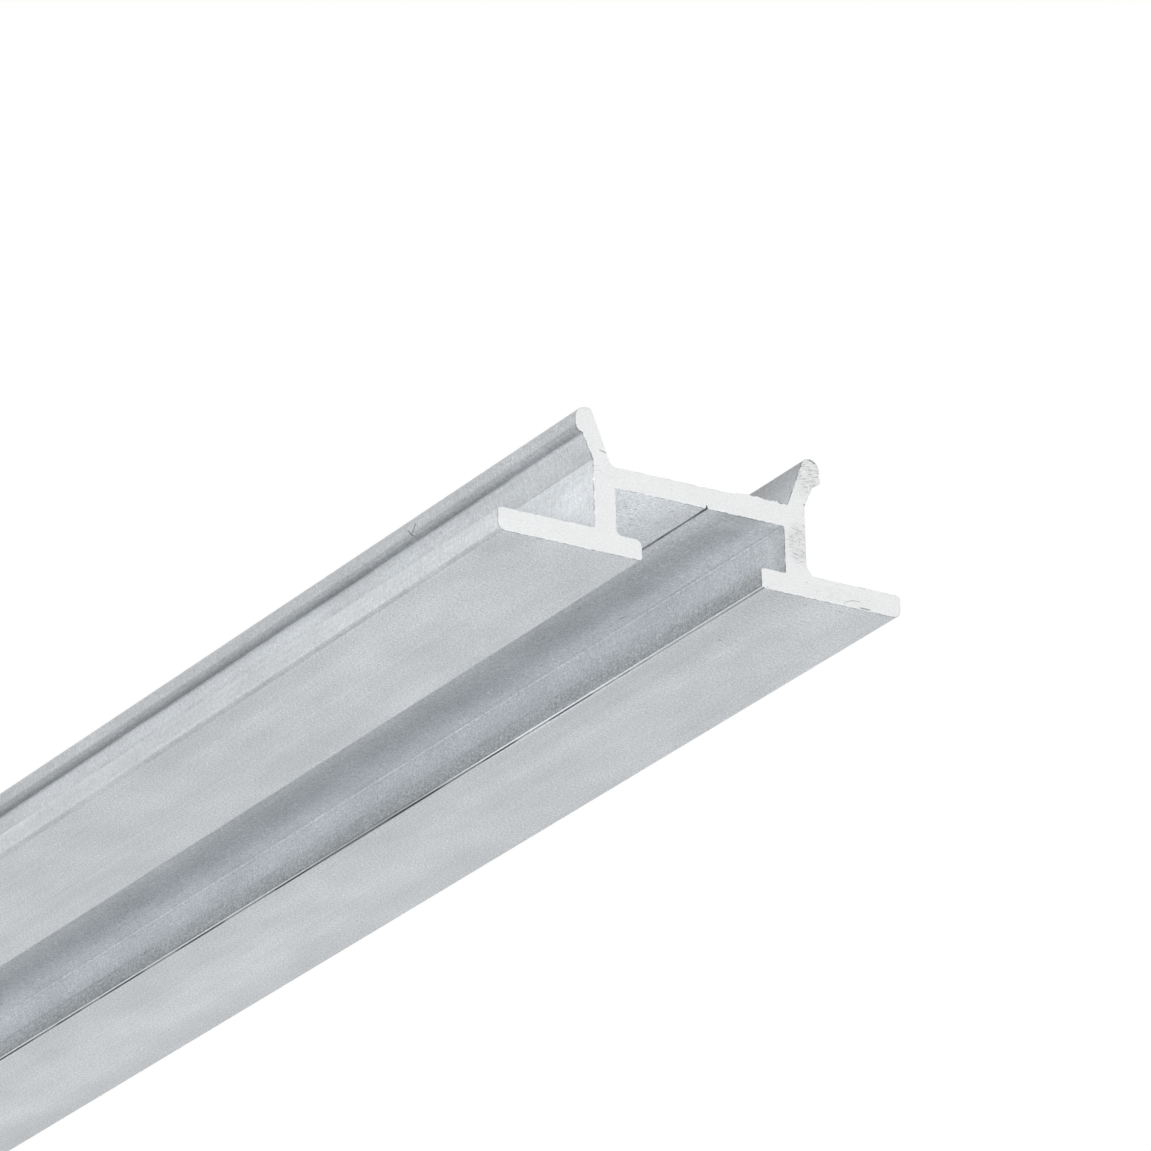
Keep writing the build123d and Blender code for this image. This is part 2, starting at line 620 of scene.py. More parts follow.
@dataclass
class TeeProfile:
    """The extrusion: its section drawn along the whole length, with two sawn ends.

    Attributes:
        low: Lowest corner of the piece, in metres.
        high: Highest corner of the piece, in metres.
        rim_pitch: Step between points round a sawn edge, in millimetres.
        face_pitch: Step between points on a sawn face, in millimetres.
        clear: Least distance from those points to the edge, as a share of that step.
        jitter: How far those points leave their rows, as a share of that step.
        seed: Start of the random draws for that.
        merge: Distance in which points of a sawn face count as one, in millimetres.
        ring_depths: Distances of the fine rings from each end, in millimetres.
        station_pitch: Step between plain rings along the length, in millimetres.
        crease: Angle from which an edge is shaded as a sharp one, in degrees.
        verts: Places of the points so far, in metres.
        faces: Indexes of the points round each face so far.
        sawn_from: Indexes of the first face of each sawn end and of the one after its last.
    """

    low: Vector
    high: Vector
    rim_pitch: float = 0.13
    face_pitch: float = 0.14
    clear: float = 0.55
    jitter: float = 0.2
    seed: int = 5
    merge: float = 1e-7
    ring_depths: tuple[float, ...] = (0.0, 0.03, 0.08, 0.16, 0.28, 0.5, 0.9, 1.5)
    station_pitch: float = 25.0
    crease: float = 32.0
    verts: list[Vector] = field(default_factory=list)
    faces: list[Face] = field(default_factory=list)
    sawn_from: list[int] = field(default_factory=list)

    def __post_init__(self) -> None:
        """Works out the section and the length from the piece's box."""
        size = (self.high - self.low) / MM
        self.section = Section(width=size.x, height=size.z)
        self.length = size.y
        self.outline = self.section.outline()
        self.rim = Rim.divide(self.outline, self.rim_pitch)
        self.sawn_ends = (SawnEnd(End.FRONT, seed=2.0), SawnEnd(End.BACK, seed=31.0))

    def place(self, x: float, y: float, z: float) -> Vector:
        """Returns a point in metres, kept inside the piece's box; y counts from the front end."""
        point = Vector((x, y, z)) * MM
        point.y += self.low.y
        return Vector(max(a, min(p, b)) for a, p, b in zip(self.low, point, self.high))

    def ring(self, points: Iterable[Triple]) -> list[int]:
        """Adds points, in millimetres with y from the front end, and returns their indexes."""
        first = len(self.verts)
        self.verts += [self.place(*point) for point in points]
        return list(range(first, len(self.verts)))

    def join(self, front: list[int], back: list[int]) -> None:
        """Joins two rings of the same number of points by four-sided faces."""
        for i, j in zip(range(len(front)), [*range(1, len(front)), 0]):
            self.faces.append((front[i], front[j], back[j], back[i]))

    def step_down(self, fine: list[int], plain: list[int], fine_first: bool) -> None:
        """Joins a fine ring to a plain one by one face for each side of the plain outline.

        Args:
            fine: Indexes of the fine ring.
            plain: Indexes of the plain ring.
            fine_first: Whether the fine ring is the one nearer the front end.
        """
        count = len(plain)
        for i in range(count):
            start = self.rim.keep[i]
            stop = self.rim.keep[i + 1] if i + 1 < count else len(fine)
            side = [fine[k % len(fine)] for k in range(start, stop + 1)]
            face = (*side, plain[(i + 1) % count], plain[i])
            self.faces.append(face if fine_first else face[::-1])

    def behind(self, sawn: SawnEnd, x: float, z: float, depth: float) -> Triple:
        """Returns the place that lies a given depth behind one end's plane, in millimetres."""
        return x, depth if sawn.end is End.FRONT else self.length - depth, z

    def fine_rings(self, sawn: SawnEnd) -> list[list[int]]:
        """Adds the fine rings beside one sawn end.

        Args:
            sawn: The end.

        Returns:
            The indexes of each ring's points, from the end inward.
        """
        rings = []
        for depth in self.ring_depths:
            points = []
            for place, normal, along in zip(self.rim.points, self.rim.normals, self.rim.along):
                spot = place + sawn.edge_offset(place, normal, along, depth)
                points.append(self.behind(sawn, *spot, depth or sawn.face_depth(*place)))
            rings.append(self.ring(points))
        return rings

    def inside_points(self, edge: list[Vector]) -> list[Vector]:
        """Spreads points over the section for a sawn face.

        Args:
            edge: The face's outline.

        Returns:
            Jittered points that lie inside it.
        """
        draw = random.Random(self.seed)
        rows: dict[int, list[float]] = {}
        step = self.face_pitch * math.sqrt(3) / 2
        for here, ahead in zip(edge, edge[1:] + edge[:1]):
            first, last = sorted((here.y, ahead.y))
            for row in range(math.ceil(first / step), math.ceil(last / step)):
                share = (row * step - here.y) / (ahead.y - here.y)
                rows.setdefault(row, []).append(here.x + share * (ahead.x - here.x))
        clear = self.clear * self.face_pitch
        points = []
        for row, crossings in sorted(rows.items()):
            crossings.sort()
            shift = 0.5 * (row % 2)
            for left, right in zip(crossings[::2], crossings[1::2]):
                x = (math.ceil((left + clear) / self.face_pitch - shift) + shift) * self.face_pitch
                while x < right - clear:
                    stray = [draw.uniform(-self.jitter, self.jitter) for _ in range(2)]
                    points.append(Vector((x, row * step)) + Vector(stray) * self.face_pitch)
                    x += self.face_pitch
        grid: dict[tuple[int, int], list[Vector]] = {}
        for p in edge:
            grid.setdefault((int(p.x // clear), int(p.y // clear)), []).append(p)
        cells = [(i, j) for i in (-1, 0, 1) for j in (-1, 0, 1)]
        kept = []
        for p in points:
            column, row = int(p.x // clear), int(p.y // clear)
            close = (q for i, j in cells for q in grid.get((column + i, row + j), ()))
            if all((p - q).length_squared > clear * clear for q in close):
                kept.append(p)
        return kept

    def sawn_face(self, sawn: SawnEnd, edge: list[int]) -> None:
        """Closes one end with a finely divided, sawn face.

        Args:
            sawn: The end.
            edge: Indexes of the ring round it.
        """
        outline = [Vector((self.verts[i].x, self.verts[i].z)) / MM for i in edge]
        inner = self.inside_points(outline)
        count = len(outline)
        sides = [(i, (i + 1) % count) for i in range(count)]
        divided = delaunay_2d_cdt(outline + inner, sides, [], 1, self.merge)
        flat, faces, origins = divided[0], divided[2], divided[3]
        if any(source and source[0] != i for i, source in enumerate(origins[:count])):
            raise ValueError("the sawn face lost points of its edge")
        inside = [self.behind(sawn, *at, sawn.face_depth(*at)) for at in flat[count:]]
        indexes = edge + self.ring(inside)
        self.sawn_from.append(len(self.faces))
        for face in faces:
            turned = [indexes[i] for i in face]
            self.faces.append(tuple(turned if sawn.end is End.FRONT else turned[::-1]))
        self.sawn_from.append(len(self.faces))

    def build(self, mill: "MillFinish", sawn: "SawnFinish") -> bpy.types.Object:
        """Builds the piece.

        Args:
            mill: Finish of the extruded faces.
            sawn: Finish of the two ends.

        Returns:
            The new mesh object, dressed.
        """
        front, back = (self.fine_rings(end) for end in self.sawn_ends)
        inset = 2 * self.ring_depths[-1]
        steps = round((self.length - 2 * inset) / self.station_pitch)
        stations = [inset + (self.length - 2 * inset) * i / steps for i in range(steps + 1)]
        plain = [self.ring([(x, y, z) for x, z in self.outline]) for y in stations]
        for near, far in zip(front, front[1:]):
            self.join(near, far)
        self.step_down(front[-1], plain[0], True)
        for near, far in zip(plain, plain[1:]):
            self.join(near, far)
        self.step_down(back[-1], plain[-1], False)
        for far, near in zip(back, back[1:]):
            self.join(near, far)
        self.sawn_face(self.sawn_ends[0], front[0])
        self.sawn_face(self.sawn_ends[1], back[0])
        return self.dress(mill, sawn)

    def dress(self, mill: "MillFinish", sawn: "SawnFinish") -> bpy.types.Object:
        """Turns the points and faces into a smooth-shaded, finished piece.

        Args:
            mill: Finish of the extruded faces.
            sawn: Finish of the two ends.

        Returns:
            The new mesh object.
        """
        mesh = bpy.data.meshes.new("grid_profile")
        mesh.from_pydata(self.verts, [], self.faces)
        mesh.validate()
        piece = bpy.data.objects.new("grid_profile", mesh)
        bpy.context.scene.collection.objects.link(piece)
        mesh.materials.append(mill.material())
        mesh.materials.append(sawn.material())
        cut = range(self.sawn_from[0], self.sawn_from[-1])
        for polygon in mesh.polygons:
            polygon.use_smooth = True
            polygon.material_index = int(polygon.index in cut)
        bm = bmesh.new()
        bm.from_mesh(mesh)
        # A sharp corner of the worn edge can leave a pinhole beside a sawn face.
        open_edges = [edge for edge in bm.edges if edge.is_boundary]
        for face in bmesh.ops.holes_fill(bm, edges=open_edges, sides=0)["faces"]:
            face.material_index = 1
            face.smooth = True
        bmesh.ops.recalc_face_normals(bm, faces=bm.faces)
        bm.to_mesh(mesh)
        bm.free()
        mesh.set_sharp_from_angle(angle=math.radians(self.crease))
        modifier = piece.modifiers.new("face_normals", "WEIGHTED_NORMAL")
        modifier.keep_sharp = True
        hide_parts(NODE)
        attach(piece, BODY)
        return piece


class Nodes:
    """A node tree, with short ways to add to it."""

    def __init__(self, tree: bpy.types.NodeTree) -> None:
        """Keeps the tree that the nodes go in."""
        self.tree = tree

    def set(self, socket: Socket, value: Value) -> None:
        """Links a socket to another one, or gives it a value."""
        if isinstance(value, Socket):
            self.tree.links.new(value, socket)
        else:
            socket.default_value = value

    def add(self, kind: str, *values: Value, **settings: str) -> bpy.types.Node:
        """Adds a node.

        Args:
            kind: Its type, without the part that the names of all shader nodes start with.
            values: What its first inputs get, in their order.
            settings: Its own settings.

        Returns:
            The node.
        """
        node = self.tree.nodes.new("ShaderNode" + kind)
        for name, setting in settings.items():
            setattr(node, name, setting)
        for socket, value in zip(node.inputs, values):
            self.set(socket, value)
        return node

    def math(self, operation: str, *values: Number) -> Socket:
        """Adds a number calculation and returns its result."""
        return self.add("Math", *values, operation=operation).outputs[0]

    def vector(self, operation: str, *values: Value) -> Socket:
        """Adds a vector calculation and returns its result."""
        node = self.add("VectorMath", *values, operation=operation)
        return node.outputs["Value" if operation in ("LENGTH", "DOT_PRODUCT") else "Vector"]

    def scaled(self, vector: Value, factor: Number) -> Socket:
        """Returns a vector or colour multiplied by a factor."""
        node = self.add("VectorMath", vector, operation="SCALE")
        self.set(node.inputs["Scale"], factor)
        return node.outputs["Vector"]

    def product(self, first: Socket, *others: Socket) -> Socket:
        """Returns several factors multiplied together."""
        for other in others:
            first = self.math("MULTIPLY", first, other)
        return first

    def changed(self, factor: Socket, mask: Socket, amount: Number) -> Socket:
        """Returns a factor raised, or lowered, by a mask times an amount of itself."""
        return self.product(factor, self.math("MULTIPLY_ADD", mask, amount, 1.0))

    def ramp(self, value: Socket, *limits: Number) -> Socket:
        """Adds an even rise; its limits are a low and a high value, and the results there."""
        return self.add("MapRange", value, *limits).outputs[0]

    def ease(self, value: Socket, *limits: Number) -> Socket:
        """Adds a smooth step; its limits are a low and a high value, and the results there."""
        return self.add("MapRange", value, *limits, interpolation_type="SMOOTHSTEP").outputs[0]

    def within(self, value: Socket, low: float, high: float, soft: float) -> Socket:
        """Returns 1 where a value lies between two limits, with soft edges of the given width."""
        rise = self.ease(value, low - soft / 2, low + soft / 2, 0.0, 1.0)
        fall = self.ease(value, high - soft / 2, high + soft / 2, 1.0, 0.0)
        return self.math("MULTIPLY", rise, fall)


@dataclass(frozen=True)
class Mottle:
    """A noise over a surface.

    Attributes:
        pitch: Size of its patches along X, Y and Z, in millimetres.
        detail: How many finer layers it has.
        amount: How far it swings, as a share of what it changes.
        shift: Moves the noise, so that two of one size differ.
    """

    pitch: Triple
    detail: float
    amount: float = 1.0
    shift: float = 0.0


@dataclass(frozen=True)
class Specks:
    """Scattered round specks.

    Attributes:
        pitch: Size of the cells that hold at most one speck each, in millimetres.
        size: Radius of the largest speck, in millimetres.
        share: Share of the cells that have a speck.
        shift: Moves the specks, so that two sets differ.
        core: Share of a speck's radius out to which it shows fully.
    """

    pitch: float
    size: float
    share: float
    shift: float = 0.0
    core: float = 0.7


class Graph(Nodes):
    """The nodes of one material."""

    def __init__(self, name: str) -> None:
        """Starts a material with the given name."""
        self.material = bpy.data.materials.new(name)
        self.material.use_nodes = True
        super().__init__(self.material.node_tree)
        self.shader = self.tree.nodes["Principled BSDF"]
        self.place = self.scaled(self.add("TexCoord").outputs["Object"], 1 / MM)
        self.x, self.y, self.z = self.add("SeparateXYZ", self.place).outputs
        self.from_front = self.vector("ADD", self.place, (0.0, HALF_LENGTH, 0.0))

    def texture(self, spread: Socket, detail: float) -> Socket:
        """Adds a noise that follows a vector and returns its value, about 0.5 on average."""
        node = self.add("TexNoise", spread)
        self.set(node.inputs["Scale"], 1.0)
        self.set(node.inputs["Detail"], detail)
        return node.outputs["Fac"]

    def noise(self, mottle: Mottle, shift: float = 0.0) -> Socket:
        """Adds a noise, moved by its own shift and another, and returns its value."""
        spread = self.vector("MULTIPLY", self.place, tuple(1 / size for size in mottle.pitch))
        return self.texture(self.vector("ADD", spread, (mottle.shift + shift,) * 3), mottle.detail)

    def centred(self, mottle: Mottle) -> Socket:
        """Adds a noise and returns its value less the 0.5 that it is on average."""
        return self.math("SUBTRACT", self.noise(mottle), 0.5)

    def mottled(self, *layers: Mottle) -> Socket:
        """Returns the factor about 1 that several noises make together."""
        swings = [
            self.math("MULTIPLY_ADD", self.centred(layer), 2 * layer.amount, 1.0)
            for layer in layers
        ]
        return self.product(*swings)

    def specks(self, specks: Specks) -> Socket:
        """Adds scattered specks and returns a mask, 1 in their middles."""
        cells = self.scaled(self.place, 1 / specks.pitch)
        node = self.add("TexVoronoi", self.vector("ADD", cells, (specks.shift,) * 3))
        self.set(node.inputs["Scale"], 1.0)
        draw = self.add("SeparateColor", node.outputs["Color"]).outputs
        chosen = self.math("LESS_THAN", draw[0], specks.share)
        radius = self.math("MULTIPLY", draw[1], specks.size / specks.pitch)
        core = self.math("MULTIPLY", radius, specks.core)
        return self.product(chosen, self.ease(node.outputs["Distance"], core, radius, 1.0, 0.0))

    def marked(self, factor: Socket, marks: tuple[ScratchAndShadowMark | ShadingAndStainPatch, ...]) -> Socket:
        """Adds marks and soft patches to a factor on the colour: scratches, nicks, specks and stains,
        and painted shade, shadow and light.

        Args:
            factor: The factor so far.
            marks: What to add.

        Returns:
            The new factor.
        """
        for mark in marks:
            if isinstance(mark, ShadingAndStainPatch):
                core, rim = 0.3, 1.0
                away = self.vector("SUBTRACT", self.from_front, mark.centre)
                away = self.vector("MULTIPLY", away, tuple(1 / size for size in mark.reach))
            else:
                core, rim = 0.3 * mark.width, 0.7 * mark.width
                run = Vector(mark.end) - Vector(mark.start)
                away = self.vector("SUBTRACT", self.from_front, mark.start)
                share = self.vector("DOT_PRODUCT", away, tuple(run))
                share = self.math("MULTIPLY", share, 1 / run.length_squared)
                share = self.math("MAXIMUM", self.math("MINIMUM", share, 1.0), 0.0)
                away = self.vector("SUBTRACT", away, self.scaled(tuple(run), share))
            inside = self.ease(self.vector("LENGTH", away), core, rim, 1.0, 0.0)
            factor = self.changed(factor, inside, -mark.strength)
        return factor

    def paint(self, colour: Colour, factor: Socket, metallic: float, roughness: float) -> None:
        """Gives the shader its gloss, and a colour that a factor makes lighter and darker."""
        self.set(self.shader.inputs["Base Color"], self.scaled(colour[:3], factor))
        self.set(self.shader.inputs["Metallic"], metallic)
        self.set(self.shader.inputs["Roughness"], roughness)

    def bump(self, height: Socket, strength: float, distance: float) -> None:
        """Gives the surface fine relief.

        Args:
            height: The relief.
            strength: How much of it shows.
            distance: Its depth in millimetres.
        """
        node = self.add("Bump")
        self.set(node.inputs["Strength"], strength)
        self.set(node.inputs["Distance"], distance * MM)
        self.set(node.inputs["Height"], height)
        self.set(self.shader.inputs["Normal"], node.outputs["Normal"])


@dataclass(frozen=True)
class DirtAndShadeLine:
    """A line along the length painted darker or lighter: darker in fine creases and grooves, painted
    shade under the left bead, painted highlights along rounded edges.

    Attributes:
        x: Distance from the middle plane, in millimetres.
        z: Height above the undersides, in millimetres.
        radius: How far the soil spreads, in millimetres.
        strength: How much it darkens, from 0 to 1; below zero it lightens, as a painted highlight.
        broken: How much of it breaks off in patches, from 0 to 1.
        fade: Distance from each end over which it grows to its full strength, in millimetres.
    """

    x: float
    z: float
    radius: float
    strength: float
    broken: float
    fade: float = 0.0


# Darker lines in the right lip's crease, at its corner and in the guide's groove; painted shade under
# the left bead, on its shoulder and along the left tip's foot; below zero, painted highlights along the
# right lip's edge and the channel's right top corner.
DIRT_AND_SHADE_LINES = (
    DirtAndShadeLine(5.71, 0.05, 0.09, -0.25, 0.1, fade=60.0),
    DirtAndShadeLine(5.83, 0.05, 0.15, 0.95, 0.4, fade=40.0),
    DirtAndShadeLine(5.65, 0.2, 0.1, 0.3, 0.5),
    DirtAndShadeLine(7.96, 5.77, 0.13, -0.16, 0.4, fade=9.0),
    DirtAndShadeLine(0.64, 5.9, 0.25, 0.73, 0.45),
    DirtAndShadeLine(-11.4, 10.25, 0.5, 0.28, 0.1),
    DirtAndShadeLine(-11.0, 9.97, 0.27, 0.28, 0.4),
    DirtAndShadeLine(-18.7, 0.05, 0.32, 0.28, 0.3),
)


@dataclass(frozen=True)
class GrainAndShadeBand:
    """A band along the length whose colour is scaled as painted light and shade on that face, with a
    coarser grain, on both sides alike.

    Attributes:
        x: Nearest and farthest distance from the middle plane, in millimetres.
        z: Lowest and highest height above the undersides, in millimetres.
        factor: How light the band is painted next to the rest, for the light and shade on that face, at
            its lowest and at its highest height.
        grain: How strong its grain is.
        lean: How far the band leans outward, in degrees.
        soft: Width of its soft edges, in millimetres.
        spots: How much more its dark and light specks show.
    """

    x: Point
    z: Point
    factor: Point
    grain: float
    lean: float = 0.0
    soft: float = 0.1
    spots: float = 0.0


# Painted light and shade by face: the beads and the horns' outer faces darker, the horns' inner faces
# darker towards the top, the webs' outer faces lighter towards the top, the lips' slot faces darker
# towards the bottom, the channel lighter, and the flanges' undersides darker.
GRAIN_AND_SHADE_BANDS = (
    GrainAndShadeBand(x=(10.95, 12.0), z=(10.0, 12.3), factor=(0.82, 0.82), grain=0.35),
    GrainAndShadeBand(x=(9.8, 10.5), z=(7.85, 9.99), factor=(0.81, 0.94), grain=0.1, lean=23.5),
    GrainAndShadeBand(x=(8.0, 9.0), z=(7.63, 12.6), factor=(0.8, 0.45), grain=0.3, lean=20.5),
    GrainAndShadeBand(x=(9.9, 10.1), z=(1.95, 7.85), factor=(0.94, 1.13), grain=0.05),
    GrainAndShadeBand(x=(5.5, 5.7), z=(0.14, 1.7), factor=(0.72, 0.92), grain=0.7),
    GrainAndShadeBand(x=(-1.0, 8.05), z=(1.7, 6.2), factor=(1.1, 1.1), grain=0.52, spots=0.18),
    GrainAndShadeBand(x=(5.8, 19.0), z=(-0.1, 0.04), factor=(0.89, 0.89), grain=0.6),
)


@dataclass(frozen=True)
class MillFinish:
    """Aluminium as it left the die, dulled by storage.

    Attributes:
        name: The material's name.
        colour: Its mean colour.
        metallic: How much of it shows as bare metal.
        roughness: How dull it is.
        layers: Its grain, fine grain, brushed lines, die streaks and clouds.
        rubbed: Fine lines across the length.
        rubbed_reach: Distances from each end between which they grow fainter, in millimetres.
        light_specks: Scattered light specks.
        dark_specks: Scattered dark ones.
        spots: How much the specks show.
        dirt_and_shade_lines: Lines painted darker in creases and grooves, as shade under the left bead,
            and lighter as painted highlights.
        dirt_and_shade_patches: Noise that breaks them up.
        dirt_and_shade_edge: Values of that noise between which the lines set in.
        shade_bands: Bands painted lighter or darker for the light and shade on their faces, with a
            coarser grain.
        coarse: Their grain.
        marks: Scratches, stains, and patches of painted shade and painted light.
        torn: Noise along the torn edges of the sawn ends.
        torn_edge: Values of that noise between which they turn from light to dark.
        torn_width: Distances from each end between which they fade out, in millimetres.
        edge_light: How much the painted burr glints lighten them at most.
        edge_shade: How much the painted burr shadow darkens them at most.
        relief: Die lines and fine grain of its relief.
        relief_share: How much of the relief shows.
        relief_depth: Its depth, in millimetres.
    """

    name: str = "mill_aluminium"
    colour: Colour = (0.6, 0.625, 0.647, 1.0)
    metallic: float = 0.28
    roughness: float = 0.38
    layers: tuple[Mottle, ...] = (
        Mottle((0.22, 0.3, 0.22), detail=1.0, amount=0.22),
        Mottle((0.09, 0.12, 0.09), detail=0.0, amount=0.22, shift=3.0),
        Mottle((0.2, 2.2, 0.2), detail=2.0, amount=0.05),
        Mottle((0.35, 60.0, 0.35), detail=3.0, amount=0.1),
        Mottle((5.0, 10.0, 5.0), detail=4.0, amount=0.21),
    )
    rubbed: Mottle = Mottle((1.5, 0.14, 1.5), detail=3.0, amount=0.2, shift=9.0)
    rubbed_reach: Point = (6.0, 40.0)
    light_specks: Specks = Specks(0.9, size=0.19, share=0.5, shift=4.0)
    dark_specks: Specks = Specks(0.9, size=0.2, share=0.45)
    spots: float = 0.12
    dirt_and_shade_lines: tuple[DirtAndShadeLine, ...] = DIRT_AND_SHADE_LINES
    dirt_and_shade_patches: Mottle = Mottle((4.0, 7.0, 4.0), detail=5.0)
    dirt_and_shade_edge: Point = (0.42, 0.55)
    shade_bands: tuple[GrainAndShadeBand, ...] = GRAIN_AND_SHADE_BANDS
    coarse: Mottle = Mottle((0.11, 0.16, 0.11), detail=1.0, shift=5.0)
    marks: tuple[ScratchAndShadowMark | ShadingAndStainPatch, ...] = (*SIDE_MARKS, *PAINTED_SHADING_AND_STAINS)
    torn: Mottle = Mottle((0.45, 0.3, 0.45), detail=3.0, shift=8.0)
    torn_edge: Point = (0.3, 0.62)
    torn_width: Point = (0.1, 0.24)
    edge_light: float = 0.25
    edge_shade: float = 0.5
    relief: tuple[Mottle, Mottle] = (
        Mottle((0.16, 12.0, 0.16), detail=2.0),
        Mottle((0.14, 0.2, 0.14), detail=2.0),
    )
    relief_share: float = 0.6
    relief_depth: float = 0.03

    def with_shade_bands(self, graph: Graph, factor: Socket, spots: Socket) -> Socket:
        """Adds the bands of painted light and shade, with their coarser grain.

        Args:
            graph: The material's nodes.
            factor: The factor on the colour so far.
            spots: The scattered specks, light ones above zero and dark ones below.

        Returns:
            The new factor.
        """
        coarse = graph.centred(self.coarse)
        beside = graph.math("ABSOLUTE", graph.x)
        for band in self.shade_bands:
            run = math.tan(math.radians(band.lean))
            upright = graph.math("MULTIPLY_ADD", graph.z, -run, beside)
            foot = band.z[0] * run
            inside = graph.product(
                graph.within(upright, band.x[0] - foot, band.x[1] - foot, band.soft),
                graph.within(graph.z, *band.z, band.soft),
            )
            level = graph.ramp(graph.z, *band.z, band.factor[0] - 1, band.factor[1] - 1)
            change = graph.math("MULTIPLY_ADD", coarse, 2 * band.grain, level)
            change = graph.math("MULTIPLY_ADD", spots, band.spots, change)
            factor = graph.changed(factor, inside, change)
        return factor

    def with_dirt_and_shade(self, graph: Graph, factor: Socket, from_end: Socket) -> Socket:
        """Adds the lines painted darker in creases and grooves, as shade and as highlights.

        Args:
            graph: The material's nodes.
            factor: The factor on the colour so far.
            from_end: Distance from the nearer end, in millimetres.

        Returns:
            The new factor.
        """
        for line in self.dirt_and_shade_lines:
            away = graph.vector("SUBTRACT", graph.place, (line.x, 0.0, line.z))
            away = graph.vector("LENGTH", graph.vector("MULTIPLY", away, (1.0, 0.0, 1.0)))
            mark = graph.ease(away, line.radius * 0.4, line.radius, 1.0, 0.0)
            patches = graph.noise(self.dirt_and_shade_patches, line.x)
            worn = graph.ease(patches, *self.dirt_and_shade_edge, 1 - line.broken, 1.0)
            mark = graph.product(mark, worn)
            if line.fade:
                mark = graph.product(mark, graph.ease(from_end, 0.2 * line.fade, line.fade, 0.6, 1.0))
            factor = graph.changed(factor, mark, -line.strength)
        return factor

    def shade(self, graph: Graph) -> Socket:
        """Works out how light the metal is at each place.

        Args:
            graph: The material's nodes.

        Returns:
            The factor on the colour.
        """
        from_end = graph.math("SUBTRACT", HALF_LENGTH, graph.math("ABSOLUTE", graph.y))
        strong, faint = 2 * self.rubbed.amount, 0.5 * self.rubbed.amount
        swing = graph.ease(from_end, *self.rubbed_reach, strong, faint)
        light, dark = graph.specks(self.light_specks), graph.specks(self.dark_specks)
        spots = graph.math("SUBTRACT", light, dark)
        factor = graph.changed(graph.mottled(*self.layers), graph.centred(self.rubbed), swing)
        factor = graph.changed(factor, spots, self.spots)
        factor = self.with_dirt_and_shade(graph, self.with_shade_bands(graph, factor, spots), from_end)
        # Painted burr glints and painted burr shadow along the faces next to each sawn end.
        torn = graph.noise(self.torn)
        torn = graph.ramp(torn, *self.torn_edge, self.edge_light, -self.edge_shade)
        factor = graph.changed(factor, graph.ease(from_end, *self.torn_width, 1.0, 0.0), torn)
        return graph.marked(factor, self.marks)

    def material(self) -> bpy.types.Material:
        """Returns the finish as a material."""
        graph = Graph(self.name)
        graph.paint(self.colour, self.shade(graph), self.metallic, self.roughness)
        relief = graph.math("ADD", *map(graph.noise, self.relief))
        graph.bump(relief, self.relief_share, self.relief_depth)
        return graph.material


@dataclass(frozen=True)
class SawnFinish:
    """Freshly sawn aluminium, bright and finely torn.

    Attributes:
        name: The material's name.
        colour: Its mean colour.
        metallic: How much of it shows as bare metal.
        roughness: How dull it is.
        layers: Its grain, fine grain and clouds.
        torn: How much a torn stroke darkens for each millimetre of its depth, as painted shade in its
            groove.
        stroke_rate: How fast the torn lines change along and across them.
        stroke_edge: Values of their noise between which they turn from light to dark.
        strokes: The patches of torn strokes.
        marks: Scratches, nicks and specks, and painted shadows of burrs and pits.
        relief: Fine level lines of its relief.
        relief_share: How much of the relief shows.
        relief_depth: Its depth, in millimetres.
    """

    name: str = "sawn_aluminium"
    colour: Colour = (0.672, 0.683, 0.686, 1.0)
    metallic: float = 0.28
    roughness: float = 0.4
    layers: tuple[Mottle, ...] = (
        Mottle((0.35, 0.35, 0.12), detail=3.0, amount=0.05),
        Mottle((0.1, 0.1, 0.09), detail=0.0, amount=0.17, shift=3.0),
        Mottle((3.0, 3.0, 1.5), detail=2.0, amount=0.04),
    )
    torn: float = 4.6
    stroke_rate: Point = (1.6, 9.0)
    stroke_edge: Point = (0.5, 0.64)
    strokes: tuple[SawStroke, ...] = SAW_STROKES
    marks: tuple[ScratchAndShadowMark, ...] = END_NICKS_AND_SHADOWS
    relief: Mottle = Mottle((0.6, 0.6, 0.08), detail=2.0)
    relief_share: float = 0.3
    relief_depth: float = 0.02

    def torn_strokes(self, graph: Graph, factor: Socket) -> Socket:
        """Darkens the torn strokes, as painted shade in their grooves.

        Args:
            graph: The material's nodes.
            factor: The factor on the colour so far.

        Returns:
            The new factor.
        """
        for stroke in self.strokes:
            (x, z), (wide, high) = stroke.centre, stroke.reach
            away = graph.vector("SUBTRACT", graph.place, (x, 0.0, z))
            away = graph.vector("MULTIPLY", away, (1 / wide, 0.0, 1 / high))
            inside = graph.ease(graph.vector("LENGTH", away), 0.4, 1.1, 1.0, 0.0)
            side = graph.math("MULTIPLY", graph.y, stroke.end.value)
            inside = graph.product(inside, graph.math("GREATER_THAN", side, 0.0))
            lean = math.radians(stroke.tilt)
            axes = (math.cos(lean), 0.0, math.sin(lean)), (-math.sin(lean), 0.0, math.cos(lean))
            turned = [graph.vector("DOT_PRODUCT", graph.place, axis) for axis in axes]
            spread = [graph.math("MULTIPLY", at, rate) for at, rate in zip(turned, self.stroke_rate)]
            lines = graph.texture(graph.add("CombineXYZ", *spread).outputs[0], 3.0)
            lines = graph.ease(lines, *self.stroke_edge, 0.18, 1.0)
            factor = graph.changed(factor, graph.product(inside, lines), -self.torn * stroke.depth)
        return factor

    def material(self) -> bpy.types.Material:
        """Returns the finish as a material."""
        graph = Graph(self.name)
        factor = self.torn_strokes(graph, graph.mottled(*self.layers))
        factor = graph.marked(factor, self.marks)
        graph.paint(self.colour, factor, self.metallic, self.roughness)
        graph.bump(graph.noise(self.relief), self.relief_share, self.relief_depth)
        return graph.material


